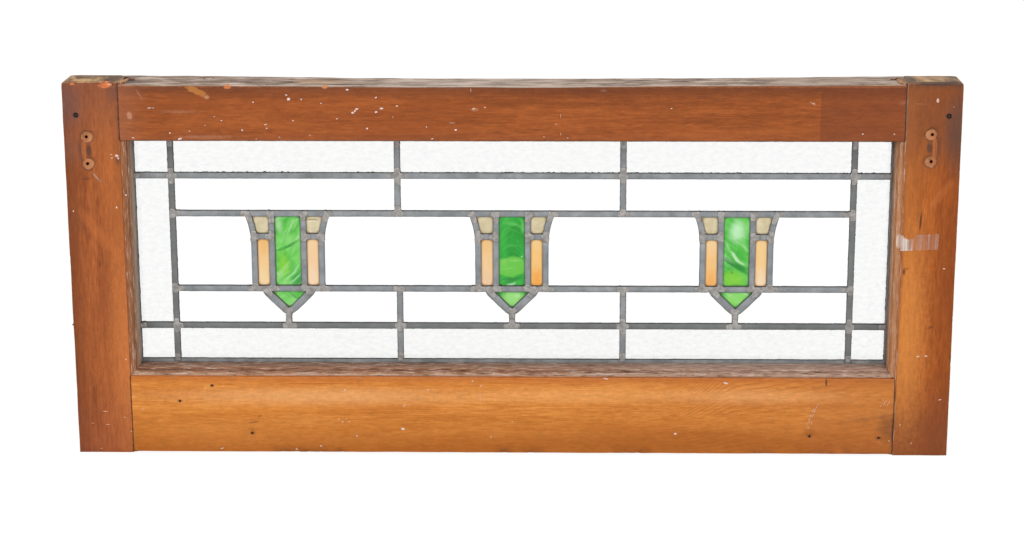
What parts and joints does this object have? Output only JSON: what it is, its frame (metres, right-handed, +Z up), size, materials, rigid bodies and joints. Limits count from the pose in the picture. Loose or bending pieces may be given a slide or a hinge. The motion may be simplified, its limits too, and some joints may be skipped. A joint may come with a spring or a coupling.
{
  "type": "leaded glass transom window",
  "caption": "Wooden transom sash with a leaded glass panel: rippled border panes, clear panes and coloured ornaments in flared cames.",
  "frame": {"origin": "under the middle of the sash: centre of the width and of the thickness, on the level of the stile feet that it stands on", "axes": "+X along the width, +Y from the moulded front face to the puttied back, +Z up"},
  "size_m": [0.914, 0.0446, 0.396],
  "materials": {
    "varnished_wood": "satin",
    "pale_varnished_wood": "satin",
    "steel_pin": "matte",
    "lead_came": "matte",
    "rippled_glass": "gloss",
    "clear_glass": "gloss",
    "green_glass": "gloss",
    "amber_glass": "gloss",
    "cream_glass": "gloss",
    "putty": "matte"
  },
  "bodies": {
    "root": {"left_stile": "varnished_wood", "right_stile": "varnished_wood", "top_rail": "varnished_wood", "bottom_rail": "pale_varnished_wood", "star_pins": "steel_pin", "edge_came_top": "lead_came", "edge_came_bottom": "lead_came", "edge_came_left": "lead_came", "edge_came_right": "lead_came", "upper_outer_came": "lead_came", "upper_inner_came": "lead_came", "lower_inner_came": "lead_came", "lower_outer_came": "lead_came", "border_came_left": "lead_came", "border_came_right": "lead_came", "upper_short_cames": "lead_came", "lower_short_cames": "lead_came", "ornament_came_left": "lead_came", "ornament_came_centre": "lead_came", "ornament_came_right": "lead_came", "corner_glass": "rippled_glass", "border_glass_top": "rippled_glass", "border_glass_bottom": "rippled_glass", "border_glass_left": "rippled_glass", "border_glass_right": "rippled_glass", "upper_clear_glass": "clear_glass", "middle_clear_glass": "clear_glass", "lower_clear_glass": "clear_glass", "green_panel_left": "green_glass", "green_panel_centre": "green_glass", "green_panel_right": "green_glass", "green_point_left": "green_glass", "green_point_centre": "green_glass", "green_point_right": "green_glass", "cream_glass_left": "cream_glass", "cream_glass_centre": "cream_glass", "cream_glass_right": "cream_glass", "amber_glass_left": "amber_glass", "amber_glass_centre": "amber_glass", "amber_glass_right": "amber_glass", "putty_top": "putty", "putty_bottom": "putty", "putty_left": "putty", "putty_right": "putty"}
  },
  "joints": []
}
